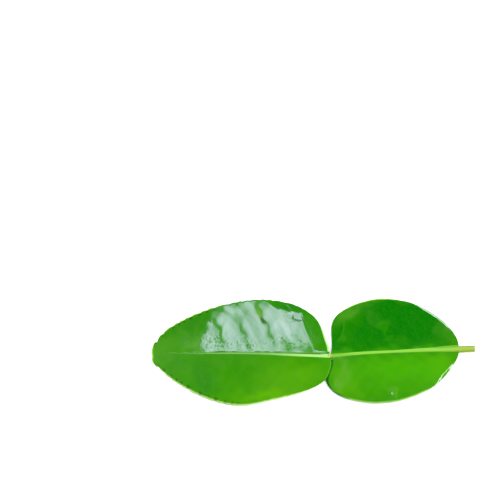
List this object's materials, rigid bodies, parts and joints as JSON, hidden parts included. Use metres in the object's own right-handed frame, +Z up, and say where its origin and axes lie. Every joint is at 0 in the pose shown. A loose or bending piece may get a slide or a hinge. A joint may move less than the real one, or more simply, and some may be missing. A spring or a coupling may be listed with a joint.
{
  "type": "lime leaf",
  "caption": "Picked makrut lime leaf lying face up: toothed blade, broadly winged leaf stalk joined to it at the midrib, and a short cut stalk end.",
  "frame": {"origin": "middle of the leaf's footprint, on the surface that it lies on", "axes": "+X along the midrib from the blade's tip towards the cut end, +Y across the leaf towards the blade's raised half, +Z up out of the glossy upper face"},
  "size_m": [0.1098, 0.039, 0.0049],
  "materials": {
    "leaf": "glossy waxy green upper face with a pale yellow-green midrib, paler matt underside"
  },
  "bodies": {
    "root": {"lime_leaf": "leaf"}
  },
  "joints": []
}
